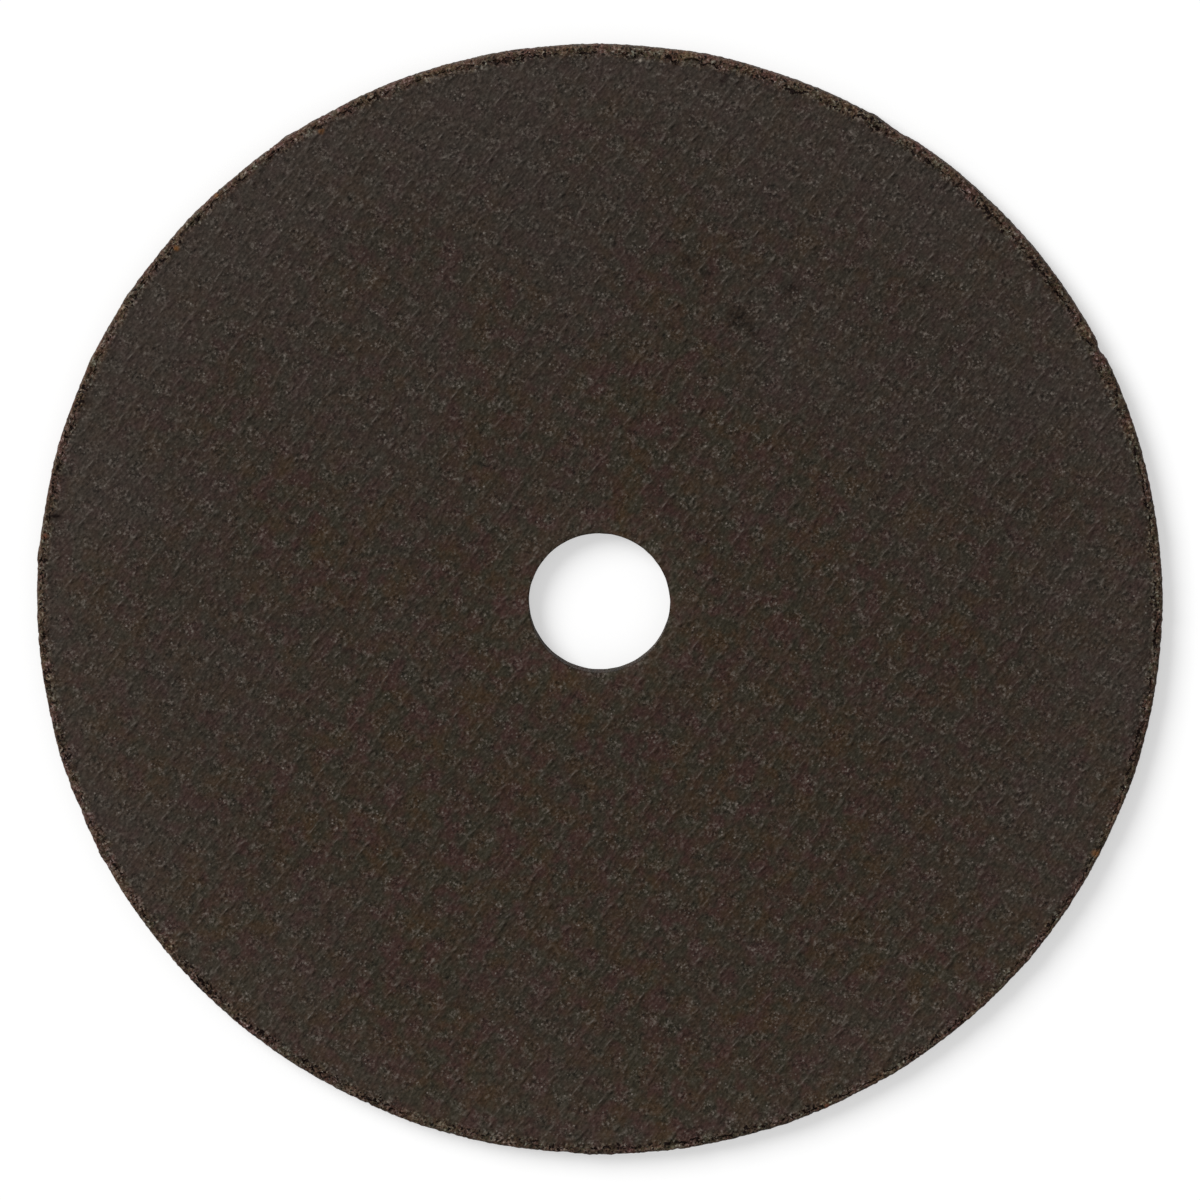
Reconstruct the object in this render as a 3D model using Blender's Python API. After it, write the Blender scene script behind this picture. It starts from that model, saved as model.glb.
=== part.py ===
"""Cut off wheel: a thin resin-bonded abrasive disc, pressed and cured in one piece between glass cloths.

Units are metres. The wheel lies flat on its back cloth. The origin is on the bore's axis at the level
that the wheel rests on, +Z points up out of the front face, and the whole disc is one solid.
"""
import math
import random

import bmesh
import bpy
from mathutils import Vector

MM = 0.001

# The disc
WHEEL_DIAMETER = 76.2 * MM
WHEEL_THICKNESS = 1.6 * MM
BORE_DIAMETER = 9.53 * MM
BORE_EDGE_ROUND = 0.12 * MM

# Round the bore the press leaves a flat land, where the mandrel's flanges clamp the wheel
SEAT_DIAMETER = 19.0 * MM
SEAT_BLEND = 0.3 * MM

# The cloths stop short of the rim. Each was cut a little oval and lies a little off centre
CLOTH_MARGIN = 0.56 * MM
CLOTH_SHIFT = 0.12 * MM
CLOTH_SHIFT_ANGLE = math.radians(100.0)
CLOTH_OVAL = 0.11 * MM
CLOTH_OVAL_ANGLE = math.radians(52.0)
CLOTH_FRAY = 0.04 * MM
CLOTH_GATHER = 3.0 * MM
BACK_CLOTH_TURN = math.radians(140.0)

# Outside the cloth is bare grain: a crack at the cloth's edge, a worn shoulder and a rounded corner
CRACK_WIDTH = 0.09 * MM
CRACK_DEPTH = 0.1 * MM
SHOULDER_DROP = 0.09 * MM
CORNER_DROP = 0.34 * MM
GRAIN_ROUGHNESS = 0.03 * MM

# Places where the rim has lost some grain: angle, depth and width along the rim
RIM_CHIPS = (
    (math.radians(27.1), 0.2 * MM, 0.9 * MM),
    (math.radians(57.9), 0.11 * MM, 1.6 * MM),
    (math.radians(-157.9), 0.08 * MM, 1.5 * MM),
    (math.radians(-93.5), 0.07 * MM, 1.3 * MM),
)

# The glass cloth's weave, which shows as relief: paired warp yarns snake over and under flat wefts
WARP_DIRECTION = math.radians(55.8)
WEFT_DIRECTION = math.radians(-27.3)
WARP_PITCH = 1.77 * MM
WEFT_PITCH = 1.93 * MM
YARN_RELIEF = 0.1 * MM
UNDERPASS_DROP = 0.045 * MM
WARP_SNAKE = 0.16 * MM

# How finely the round edges are divided, and how near two points count as one
SEGMENTS = 144
SAME_PLACE = 0.0001 * MM
ON_LINE = 0.001 * MM
SEED = 11

# Which cloth pressed a face, kept on the face while the wheel is made
CLOTH_MARK = "cloth"
FRONT_CLOTH = 1
BACK_CLOTH = 2

# How often the cloth's edge frays in and out in one turn
FRAY_WAVES = (23, 37)

WHEEL_RADIUS = WHEEL_DIAMETER / 2
BORE_RADIUS = BORE_DIAMETER / 2
SEAT_RADIUS = SEAT_DIAMETER / 2
CLOTH_RADIUS = WHEEL_RADIUS - CLOTH_MARGIN
MIDDLE_HEIGHT = WHEEL_THICKNESS / 2

FACE_COLOR = (0.0395, 0.0307, 0.0232, 1.0)
FACE_ROUGHNESS = 0.72
SMOOTH_ANGLE = math.radians(30.0)


def clear_scene():
    """Remove what a new file starts with."""
    for thing in list(bpy.data.objects):
        bpy.data.objects.remove(thing, do_unlink=True)


def bonded_abrasive():
    """Dark brown phenolic resin that is full of grain."""
    material = bpy.data.materials.new("bonded_abrasive")
    material.use_nodes = True
    shader = material.node_tree.nodes["Principled BSDF"]
    shader.inputs["Base Color"].default_value = FACE_COLOR
    shader.inputs["Roughness"].default_value = FACE_ROUGHNESS
    shader.inputs["Metallic"].default_value = 0.0
    return material


def across(direction):
    """The flat unit vector that points square across yarns of this direction."""
    return Vector((-math.sin(direction), math.cos(direction), 0.0))


def wave(turns):
    """A smooth wave that is 1 at whole turns and 0 halfway between them."""
    return (1.0 + math.cos(math.tau * turns)) / 2.0


def cloth_margin(angle):
    """Width of the bare grain between the cloth and the rim at this angle round the wheel."""
    shift = CLOTH_SHIFT * math.cos(angle - CLOTH_SHIFT_ANGLE)
    oval = CLOTH_OVAL * math.cos(2.0 * (angle - CLOTH_OVAL_ANGLE))
    fray = CLOTH_FRAY * math.sin(FRAY_WAVES[0] * angle) * math.sin(FRAY_WAVES[1] * angle)
    return CLOTH_MARGIN + shift + oval + fray


def chip_depth(angle):
    """How much the rim is worn back at this angle."""
    depth = 0.0
    for chip_angle, deepest, width in RIM_CHIPS:
        turn = math.remainder(angle - chip_angle, math.tau)
        depth += deepest * math.exp(-(turn * WHEEL_RADIUS / (width / 2)) ** 2)
    return depth


def front_half_section():
    """The section's front half as (radius, height), from the bore's wall out to the rim's corner."""
    crack_bottom = WHEEL_THICKNESS - YARN_RELIEF - CRACK_DEPTH
    return [
        (BORE_RADIUS, WHEEL_THICKNESS - BORE_EDGE_ROUND),
        (BORE_RADIUS + BORE_EDGE_ROUND, WHEEL_THICKNESS),
        (SEAT_RADIUS, WHEEL_THICKNESS),
        (SEAT_RADIUS + SEAT_BLEND, WHEEL_THICKNESS),
        (CLOTH_RADIUS, WHEEL_THICKNESS),
        (CLOTH_RADIUS + CRACK_WIDTH, crack_bottom),
        ((CLOTH_RADIUS + CRACK_WIDTH + WHEEL_RADIUS) / 2, WHEEL_THICKNESS - SHOULDER_DROP),
        (WHEEL_RADIUS, WHEEL_THICKNESS - CORNER_DROP),
    ]


def turn_wheel(bm):
    """Spin the closed section about the wheel's axis: a disc with flat faces."""
    front = front_half_section()
    back = [(radius, WHEEL_THICKNESS - height) for radius, height in reversed(front)]
    section = front + [(WHEEL_RADIUS, MIDDLE_HEIGHT)] + back
    verts = [bm.verts.new((radius, 0.0, height)) for radius, height in section]
    edges = [bm.edges.new(pair) for pair in zip(verts, verts[1:] + verts[:1])]
    bmesh.ops.spin(
        bm,
        geom=verts + edges,
        cent=(0.0, 0.0, 0.0),
        axis=(0.0, 0.0, 1.0),
        angle=math.tau,
        steps=SEGMENTS,
        use_merge=True,
    )


def take_cloth_faces(bm, height, cloth):
    """Find the flat ring at this height that the cloth covers, and mark it as pressed by this cloth."""
    mark = bm.faces.layers.int[CLOTH_MARK]
    inner_radius = SEAT_RADIUS + SEAT_BLEND / 2
    faces = []
    for face in bm.faces:
        level = all(abs(vert.co.z - height) < SAME_PLACE for vert in face.verts)
        if level and min(vert.co.xy.length for vert in face.verts) > inner_radius:
            face[mark] = cloth
            faces.append(face)
    return faces


def parts_of(faces):
    """The faces with all their edges and vertices, as the cutting operator wants them."""
    edges = dict.fromkeys(edge for face in faces for edge in face.edges)
    verts = dict.fromkeys(vert for face in faces for vert in face.verts)
    return list(faces) + list(edges) + list(verts)


def score_yarns(bm, faces, direction, pitch):
    """Cut the faces along straight lines of this direction, one through the axis and this far apart."""
    normal = across(direction)
    count = int(WHEEL_RADIUS / pitch)
    for step in range(-count, count + 1):
        cut = bmesh.ops.bisect_plane(
            bm,
            geom=parts_of(faces),
            dist=SAME_PLACE,
            plane_co=normal * step * pitch,
            plane_no=normal,
        )
        faces = [item for item in cut["geom"] if isinstance(item, bmesh.types.BMFace)]
    return faces


def follows_line(edge, direction, pitch):
    """Whether the edge lies on one of the lines that score_yarns cuts."""
    normal = across(direction)
    offsets = [vert.co.dot(normal) / pitch for vert in edge.verts]
    line = round(offsets[0])
    return all(abs(offset - line) * pitch < ON_LINE for offset in offsets)


def clear_spokes(bm, faces, families):
    """Dissolve the edges between the segments, which follow no yarn, and return the cells that are left."""
    cloth_faces = set(faces)
    spokes = []
    for edge in dict.fromkeys(edge for face in faces for edge in face.edges):
        inner = cloth_faces.issuperset(edge.link_faces)
        if inner and not any(follows_line(edge, direction, pitch) for direction, pitch in families):
            spokes.append(edge)
    mark = bm.faces.layers.int[CLOTH_MARK]
    cloth = faces[0][mark]
    bmesh.ops.dissolve_edges(bm, edges=spokes, use_verts=True)
    return [face for face in bm.faces if face[mark] == cloth]


def press_weave(faces, warp, weft, down):
    """Move the scored face's points into the relief that the cloth leaves in the resin.

    Each warp pair is a ridge. Over one weft it stands at full height and leans to one side, and
    under the next it dips and leans to the other. With no weft given, the ridges are straight.
    """
    across_warp = across(warp)
    cloth_faces = set(faces)
    for vert in dict.fromkeys(vert for face in faces for vert in face.verts):
        ridge = wave(vert.co.dot(across_warp) / WARP_PITCH)
        over = 1.0 if weft is None else wave(vert.co.dot(across(weft)) / (2.0 * WEFT_PITCH))
        crest_depth = UNDERPASS_DROP * (1.0 - over)
        vert.co.z += down * (YARN_RELIEF + ridge * (crest_depth - YARN_RELIEF))
        if weft is not None and cloth_faces.issuperset(vert.link_faces):
            vert.co += across_warp * WARP_SNAKE * ridge * (over - 0.5)


def lay_front_cloth(bm):
    """The front face, with its warp ridges and their crossings over and under each weft."""
    families = [(WARP_DIRECTION, WARP_PITCH / 2), (WEFT_DIRECTION, WEFT_PITCH)]
    faces = take_cloth_faces(bm, WHEEL_THICKNESS, FRONT_CLOTH)
    for direction, pitch in families:
        faces = score_yarns(bm, faces, direction, pitch)
    faces = clear_spokes(bm, faces, families)
    press_weave(faces, WARP_DIRECTION, WEFT_DIRECTION, -1.0)


def lay_back_cloth(bm):
    """The face that the wheel lies on. Its warp ridges are straight, with no crossings."""
    warp = WARP_DIRECTION + BACK_CLOTH_TURN
    faces = take_cloth_faces(bm, 0.0, BACK_CLOTH)
    faces = score_yarns(bm, faces, warp, WARP_PITCH / 2)
    faces = clear_spokes(bm, faces, [(warp, WARP_PITCH / 2)])
    press_weave(faces, warp, None, 1.0)


def wear_rim(bm):
    """Bring the cloths' edges to where they lie, and wear and roughen the bare grain outside them."""
    rng = random.Random(SEED)
    for vert in bm.verts:
        angle = math.atan2(vert.co.y, vert.co.x)
        radius = vert.co.xy.length
        cloth_turn = 0.0 if vert.co.z > MIDDLE_HEIGHT else BACK_CLOTH_TURN
        wider = cloth_margin(angle - cloth_turn) - CLOTH_MARGIN
        if radius < CLOTH_RADIUS:
            follow = max(0.0, 1.0 - (CLOTH_RADIUS - radius) / CLOTH_GATHER)
            worn = radius - follow * wider
        else:
            follow = (WHEEL_RADIUS - radius) / CLOTH_MARGIN
            worn = radius - follow * wider - (1.0 - follow) * chip_depth(angle)
        if radius > CLOTH_RADIUS + CRACK_WIDTH / 2:
            worn -= GRAIN_ROUGHNESS * rng.random()
            vert.co.z += GRAIN_ROUGHNESS * rng.uniform(-1.0, 1.0)
        vert.co.x = worn * math.cos(angle)
        vert.co.y = worn * math.sin(angle)


def split_bordering_faces(bm):
    """Divide the faces that border on a scored face, and so have points along one of their sides."""
    bordering = [face for face in bm.faces if len(face.verts) > 4]
    bmesh.ops.triangulate(bm, faces=bordering, quad_method="BEAUTY", ngon_method="BEAUTY")


def make_wheel(collection):
    """The whole wheel: a turned disc whose faces are pressed by cloth and whose rim is worn."""
    bm = bmesh.new()
    bm.faces.layers.int.new(CLOTH_MARK)
    turn_wheel(bm)
    lay_front_cloth(bm)
    lay_back_cloth(bm)
    wear_rim(bm)
    split_bordering_faces(bm)
    bmesh.ops.recalc_face_normals(bm, faces=bm.faces)
    mesh = bpy.data.meshes.new("cutoff_wheel")
    bm.to_mesh(mesh)
    bm.free()
    mesh.materials.append(bonded_abrasive())
    mesh.shade_smooth()
    mesh.set_sharp_from_angle(angle=SMOOTH_ANGLE)
    wheel = bpy.data.objects.new("cutoff_wheel", mesh)
    collection.objects.link(wheel)
    return wheel


def main():
    clear_scene()
    collection = bpy.data.collections.new("cut_off_wheel")
    bpy.context.scene.collection.children.link(collection)
    make_wheel(collection)


main()
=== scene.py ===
import math

import bmesh
import bpy
from mathutils import Matrix, Vector, noise


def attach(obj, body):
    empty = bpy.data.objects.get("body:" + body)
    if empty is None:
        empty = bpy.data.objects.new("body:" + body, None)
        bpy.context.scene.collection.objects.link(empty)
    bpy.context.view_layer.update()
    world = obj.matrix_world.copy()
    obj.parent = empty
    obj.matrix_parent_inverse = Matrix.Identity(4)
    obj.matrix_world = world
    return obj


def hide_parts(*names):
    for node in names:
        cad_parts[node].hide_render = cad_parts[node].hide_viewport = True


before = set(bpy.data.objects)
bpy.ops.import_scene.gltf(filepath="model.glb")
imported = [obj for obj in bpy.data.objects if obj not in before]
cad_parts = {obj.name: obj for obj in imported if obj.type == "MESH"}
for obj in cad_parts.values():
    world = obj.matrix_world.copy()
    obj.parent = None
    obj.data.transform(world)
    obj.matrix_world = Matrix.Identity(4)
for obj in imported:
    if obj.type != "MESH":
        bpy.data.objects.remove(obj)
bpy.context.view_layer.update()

MM = 0.001

# The wheel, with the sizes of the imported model
WHEEL_RADIUS = 38.1 * MM
WHEEL_THICKNESS = 1.6 * MM
BORE_RADIUS = 4.765 * MM
BORE_EDGE_ROUND = 0.12 * MM
MIDDLE_HEIGHT = WHEEL_THICKNESS / 2

# Width of the bare grain outside the cloths. Each cloth was cut a little oval and frays at its edge
CLOTH_MARGIN = 0.56 * MM
CLOTH_OVAL = 0.11 * MM
CLOTH_OVAL_ANGLE = math.radians(48.0)
CLOTH_FRAY = 0.15 * MM
CLOTH_GATHER = 3.0 * MM
CLOTH_RADIUS = WHEEL_RADIUS - CLOTH_MARGIN
BACK_CLOTH_TURN = math.radians(140.0)

# The crack at the cloth's edge: how far out and how deep its bottom is
CRACK_WIDTH = 0.09 * MM
CRACK_DEPTH = 0.13 * MM

# The bare grain outside the crack, as distance in from the rim and distance below the face
FRONT_RIM = (
    (0.38 * MM, 0.10 * MM),
    (0.27 * MM, 0.08 * MM),
    (0.18 * MM, 0.11 * MM),
    (0.10 * MM, 0.18 * MM),
    (0.04 * MM, 0.27 * MM),
    (0.01 * MM, 0.40 * MM),
    (0.0, 0.60 * MM),
    (0.0, 0.80 * MM),
)
BACK_RIM = (
    (0.0, 1.05 * MM),
    (0.03 * MM, 1.30 * MM),
    (0.17 * MM, 1.47 * MM),
    (0.34 * MM, 1.50 * MM),
)

# How far the rim is worn down, how uneven that is, how high its grains are and how deep its pits
RIM_WEAR = 0.08 * MM
RIM_UNEVEN = 0.07 * MM
RIM_GRAIN = 0.062 * MM
PIT_DEPTH = 0.12 * MM

# Places where the rim lost grain, and where a grain stands out: angle, depth or height, width
RIM_CHIPS = (
    (27.1, 0.206 * MM, 0.9 * MM),
    (57.9, 0.11 * MM, 1.6 * MM),
    (-157.9, 0.08 * MM, 1.5 * MM),
    (-93.5, 0.07 * MM, 1.3 * MM),
    (-161.1, 0.06 * MM, 0.8 * MM),
)
RIM_BUMPS = (
    (175.4, 0.12 * MM, 0.9 * MM),
    (60.9, 0.09 * MM, 0.8 * MM),
    (-152.7, 0.08 * MM, 1.0 * MM),
    (123.7, 0.08 * MM, 1.0 * MM),
    (147.0, 0.08 * MM, 1.0 * MM),
    (154.4, 0.07 * MM, 1.0 * MM),
)

# The glass cloth's weave: paired warp yarns snake over one flat weft and under the next
WARP_DIRECTION = math.radians(55.8)
WEFT_DIRECTION = math.radians(-27.3)
WARP_PITCH = 1.77 * MM
WEFT_PITCH = 1.93 * MM
WEFT_PHASE = 0.105
YARN_RELIEF = 0.10 * MM
RIDGE_WIDTH = 0.10
WARP_SNAKE = 0.26 * MM
WEFT_HEIGHT = 0.3
YARN_WANDER = 0.12 * MM
PEBBLES = 0.022 * MM

# How far in from its edges the cloth was held straight
HELD_EDGE = 1.5 * MM

# How dark the open crack and the bore's wall are painted, as a share of the crack's own colour: painted shade for the
# inside of the open crack and for the bore's wall
CRACK_SHADE = 0.4
BORE_SHADE = 0.45

# The beads of the twisted warp
BEAD_HEIGHT = 0.062
BEAD_LEAN = 0.16

# Where each sheet is cut between one yarn and the next, in shares of the yarns' pitch
FRONT_WARP_CUTS = (0.0, 0.06, 0.12, 0.2, 0.36, 0.64, 0.8, 0.88, 0.94)
FRONT_WEFT_CUTS = (0.21, 0.46, 0.71, 0.96)
BACK_WARP_CUTS = (0.0, 0.12, 0.25, 0.5, 0.75, 0.88)
BACK_WEFT_CUTS = (0.21, 0.71)

# How finely the round edges are divided, and how near two points count as one
SPOKES = 120
RIM_STEPS = 1440
SAME_PLACE = 0.0001 * MM
ON_LINE = 0.001 * MM


def across(direction):
    """The flat unit vector that points square across yarns of this direction."""
    return Vector((-math.sin(direction), math.cos(direction), 0.0))


def wave(turns):
    """A smooth wave that is 1 at whole turns and 0 halfway between them."""
    return (1.0 + math.cos(math.tau * turns)) / 2.0


def ramp(value, low, high):
    """0 below low, 1 above high and smooth between them."""
    share = min(1.0, max(0.0, (value - low) / (high - low)))
    return share * share * (3.0 - 2.0 * share)


def drift(point, size, place):
    """Smooth noise from about -1 to 1 whose lumps are about this size. place picks another pattern."""
    return noise.noise(point / size + Vector((place, -place, 3.0 * place)))


def near_rim_place(angle, places):
    """Sum of the listed places' depths at this angle."""
    total = 0.0
    for place_angle, height, width in places:
        turn = math.remainder(angle - math.radians(place_angle), math.tau)
        total += height * math.exp(-(turn * WHEEL_RADIUS / (width / 2)) ** 2)
    return total


def move_out(vert, radius, height):
    """Put the vertex at this radius and height, at the angle that it has."""
    flat = vert.co.xy.normalized() * radius
    vert.co = (flat.x, flat.y, height)


def lay_rings(bm):
    """Two flat rings of long faces from the bore to the cloth's edge, one for each side of the wheel."""
    start = []
    for height in (0.0, WHEEL_THICKNESS):
        inner = bm.verts.new((BORE_RADIUS + BORE_EDGE_ROUND, 0.0, height))
        outer = bm.verts.new((CLOTH_RADIUS, 0.0, height))
        start += [inner, outer, bm.edges.new((inner, outer))]
    bmesh.ops.spin(
        bm,
        geom=start,
        cent=(0.0, 0.0, 0.0),
        axis=(0.0, 0.0, 1.0),
        angle=math.tau,
        steps=SPOKES,
        use_merge=True,
    )
    rim = [edge for edge in bm.edges if min(vert.co.xy.length for vert in edge.verts) > CLOTH_RADIUS / 2]
    bmesh.ops.bisect_edges(bm, edges=rim, cuts=RIM_STEPS // SPOKES - 1)


def take_ring(bm, height):
    """The faces of the ring at this height, and the vertices of its outer and inner edge."""
    faces = [face for face in bm.faces if all(abs(vert.co.z - height) < SAME_PLACE for vert in face.verts)]
    edge_verts = dict.fromkeys(vert for face in faces for vert in face.verts)
    outer_posts = [vert for vert in edge_verts if vert.co.xy.length > CLOTH_RADIUS / 2]
    inner_posts = [vert for vert in edge_verts if vert.co.xy.length < CLOTH_RADIUS / 2]
    for vert in outer_posts:
        move_out(vert, CLOTH_RADIUS, height)
    return faces, outer_posts, inner_posts


def parts_of(faces):
    """The faces with all their edges and vertices, as the cutting operator wants them."""
    edges = dict.fromkeys(edge for face in faces for edge in face.edges)
    verts = dict.fromkeys(vert for face in faces for vert in face.verts)
    return list(faces) + list(edges) + list(verts)


def score_yarns(bm, faces, direction, pitch, cuts):
    """Cut the faces along straight lines of this direction, at these shares of each pitch from the axis."""
    normal = across(direction)
    count = int(WHEEL_RADIUS / pitch) + 1
    ahead = [(min(vert.co.dot(normal) for vert in face.verts), face) for face in faces]
    ahead.sort(key=lambda entry: entry[0], reverse=True)
    crossing, done = [], []
    for line in [(step + cut) * pitch for step in range(-count, count) for cut in cuts]:
        while ahead and ahead[-1][0] < line:
            crossing.append(ahead.pop()[1])
        if not crossing:
            continue
        cut = bmesh.ops.bisect_plane(
            bm, geom=parts_of(crossing), dist=SAME_PLACE, plane_co=normal * line, plane_no=normal
        )
        crossing = []
        for item in cut["geom"]:
            if isinstance(item, bmesh.types.BMFace):
                beyond = max(vert.co.dot(normal) for vert in item.verts) > line + SAME_PLACE
                (crossing if beyond else done).append(item)
    return done + crossing + [face for low, face in ahead]


def spoke_of(vert):
    """The number of the spoke that the vertex lies on, or None."""
    turns = math.atan2(vert.co.y, vert.co.x) / math.tau * SPOKES
    off = abs(turns - round(turns)) * math.tau / SPOKES * vert.co.xy.length
    return round(turns) % SPOKES if off < ON_LINE else None


def clear_spokes(bm, faces):
    """Dissolve the edges that lie on the spokes of the ring, which follow no yarn."""
    spokes = []
    for edge in dict.fromkeys(edge for face in faces for edge in face.edges):
        first = spoke_of(edge.verts[0])
        if first is not None and first == spoke_of(edge.verts[1]):
            spokes.append(edge)
    bmesh.ops.dissolve_edges(bm, edges=spokes, use_verts=True)


def hem(bm, edge_verts, posts, radius, height):
    """Draw the sheet's edge out to this radius and height, and keep one vertex there for each post."""
    inside = set(edge_verts)
    edges = dict.fromkeys(
        edge
        for vert in edge_verts
        for edge in vert.link_edges
        if edge.is_boundary and inside.issuperset(edge.verts)
    )
    drawn = bmesh.ops.extrude_edge_only(bm, edges=list(edges))["geom"]
    fresh = set(item for item in drawn if isinstance(item, bmesh.types.BMVert))
    partner = {}
    for vert in edge_verts:
        for edge in vert.link_edges:
            other = edge.other_vert(vert)
            if other in fresh:
                partner[vert] = other
    for vert in edge_verts:
        move_out(partner[vert], radius, height)
    step = math.tau / len(posts)
    ring = [None] * len(posts)
    for vert in posts:
        ring[round(math.atan2(vert.co.y, vert.co.x) / step) % len(posts)] = partner[vert]
    kept = set(ring)
    target = {}
    for vert in edge_verts:
        if partner[vert] not in kept:
            target[partner[vert]] = ring[round(math.atan2(vert.co.y, vert.co.x) / step) % len(posts)]
    bmesh.ops.weld_verts(bm, targetmap=target)
    return ring


def next_ring(bm, ring, radius, height):
    """Draw the ring of vertices out to a new ring at this radius and height."""
    edges = []
    for vert, following in zip(ring, ring[1:] + ring[:1]):
        edges.append(next(edge for edge in vert.link_edges if edge.other_vert(vert) is following))
    drawn = bmesh.ops.extrude_edge_only(bm, edges=edges)["geom"]
    fresh = set(item for item in drawn if isinstance(item, bmesh.types.BMVert))
    made = []
    for vert in ring:
        above = next(edge.other_vert(vert) for edge in vert.link_edges if edge.other_vert(vert) in fresh)
        move_out(above, radius, height)
        made.append(above)
    return made


def cut_sheet(bm, height, warp, weft, warp_cuts, weft_cuts):
    """One face of the wheel, scored along its yarns, with the crack and the bore's edge hemmed on."""
    inwards = -1.0 if height > MIDDLE_HEIGHT else 1.0
    faces, outer_posts, inner_posts = take_ring(bm, height)
    faces = score_yarns(bm, faces, warp, WARP_PITCH, warp_cuts)
    faces = score_yarns(bm, faces, weft, WEFT_PITCH, weft_cuts)
    verts = dict.fromkeys(vert for face in faces for vert in face.verts if vert.is_boundary)
    outer = [vert for vert in verts if vert.co.xy.length > CLOTH_RADIUS / 2]
    inner = [vert for vert in verts if vert.co.xy.length < CLOTH_RADIUS / 2]
    crack_bottom = height + inwards * (YARN_RELIEF + CRACK_DEPTH)
    crack = hem(bm, outer, outer_posts, CLOTH_RADIUS + CRACK_WIDTH, crack_bottom)
    bore = hem(bm, inner, inner_posts, BORE_RADIUS, height + inwards * BORE_EDGE_ROUND)
    clear_spokes(bm, faces)
    return crack, bore


def close_rim(bm, front_ring, back_ring):
    """The bare grain from the front crack, round the rim to the back crack."""
    ring = front_ring
    for inset, depth in FRONT_RIM + BACK_RIM:
        ring = next_ring(bm, ring, WHEEL_RADIUS - inset, WHEEL_THICKNESS - depth)
    last = next_ring(bm, ring, back_ring[0].co.xy.length, back_ring[0].co.z)
    bmesh.ops.weld_verts(bm, targetmap=dict(zip(last, back_ring)))


def close_bore(bm, front_ring, back_ring):
    """The bore's wall."""
    ring = front_ring
    levels = 5
    for level in range(1, levels):
        height = WHEEL_THICKNESS - BORE_EDGE_ROUND - (WHEEL_THICKNESS - 2 * BORE_EDGE_ROUND) * level / levels
        ring = next_ring(bm, ring, BORE_RADIUS, height)
    last = next_ring(bm, ring, BORE_RADIUS, BORE_EDGE_ROUND)
    bmesh.ops.weld_verts(bm, targetmap=dict(zip(last, back_ring)))


def beside(turns, place, spacing=1.0):
    """How far this is from the nearest of the places that lie this far apart."""
    return abs(math.remainder(turns - place, spacing))


def place_in_weave(point, warp, weft):
    """Where the point is in the weave: warps counted across them, double wefts counted along the warp."""
    return point.dot(across(warp)) / WARP_PITCH, point.dot(across(weft)) / (2.0 * WEFT_PITCH) - WEFT_PHASE


def press_point(vert, down, warp, weft):
    """Press one point of a sheet into the cloth's relief."""
    point = vert.co.copy()
    radius = point.xy.length
    across_warps, along_warp = place_in_weave(point, warp, weft)
    over = wave(along_warp)
    ridge = math.exp(-((beside(across_warps, 0.0) / RIDGE_WIDTH) ** 2))
    fullness = 1.0 + 0.8 * drift(point, 1.5 * MM, 4.0) + 0.3 * drift(point, 9.0 * MM, 9.0)
    crest = min(1.0, max(0.0, (0.12 + 0.3 * over) * fullness))
    weft_band = 1.0 - ramp(beside(along_warp, 0.0, 0.5), 0.07, 0.15)
    hollow = 1.0 - ramp(beside(across_warps, 0.0), 0.12, 0.4)
    weft_height = WEFT_HEIGHT * weft_band * (1.0 - 0.8 * hollow)
    relief = 1.0 - (1.0 - crest * ridge) * (1.0 - weft_height)
    window = 1.0 - ramp(beside(across_warps, -0.53), 0.25, 0.36)
    window *= 1.0 - ramp(beside(along_warp, 0.25, 0.5), 0.09, 0.155)
    lower_left = -(point.x + point.y) / WHEEL_RADIUS
    strength = YARN_RELIEF * min(1.0, 0.72 + 0.15 * lower_left + 0.4 * drift(point, 15.0 * MM, 6.0))
    lumps = PEBBLES * (0.25 + 0.75 * window) * (drift(point, 0.35 * MM, 1.0) + drift(point, 1.1 * MM, 2.0) - 0.6)
    vert.co.z += down * max(0.0, strength * (1.0 - relief) - lumps)
    loose = ramp(CLOTH_RADIUS - radius, 0.0, HELD_EDGE) * ramp(radius - BORE_RADIUS, 0.2 * MM, HELD_EDGE)
    snake = across(warp) * WARP_SNAKE * ridge * (over - 0.5)
    wander = YARN_WANDER * Vector((drift(point, 8.0 * MM, 12.0), drift(point, 8.0 * MM, 17.0), 0.0))
    vert.co += loose * (snake + wander)


def cloth_wider(angle):
    """How much wider than usual the bare grain is at this angle round the wheel."""
    place = Vector((math.cos(angle), math.sin(angle), 0.0)) * WHEEL_RADIUS
    fray = drift(place, 1.3 * MM, 21.0) + 0.8 * drift(place, 0.45 * MM, 22.0)
    return CLOTH_OVAL * math.cos(2.0 * (angle - CLOTH_OVAL_ANGLE)) + CLOTH_FRAY * fray


def pit_at(place, reach):
    """How deep a pit is at this place, where reach is how near it is to the crack, from 0 to 1."""
    holes = drift(place, 0.42 * MM, 61.0) + 0.5 * drift(place, 1.9 * MM, 62.0)
    return ramp(holes, 0.5 - 0.45 * reach, 0.7 - 0.45 * reach)


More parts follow.
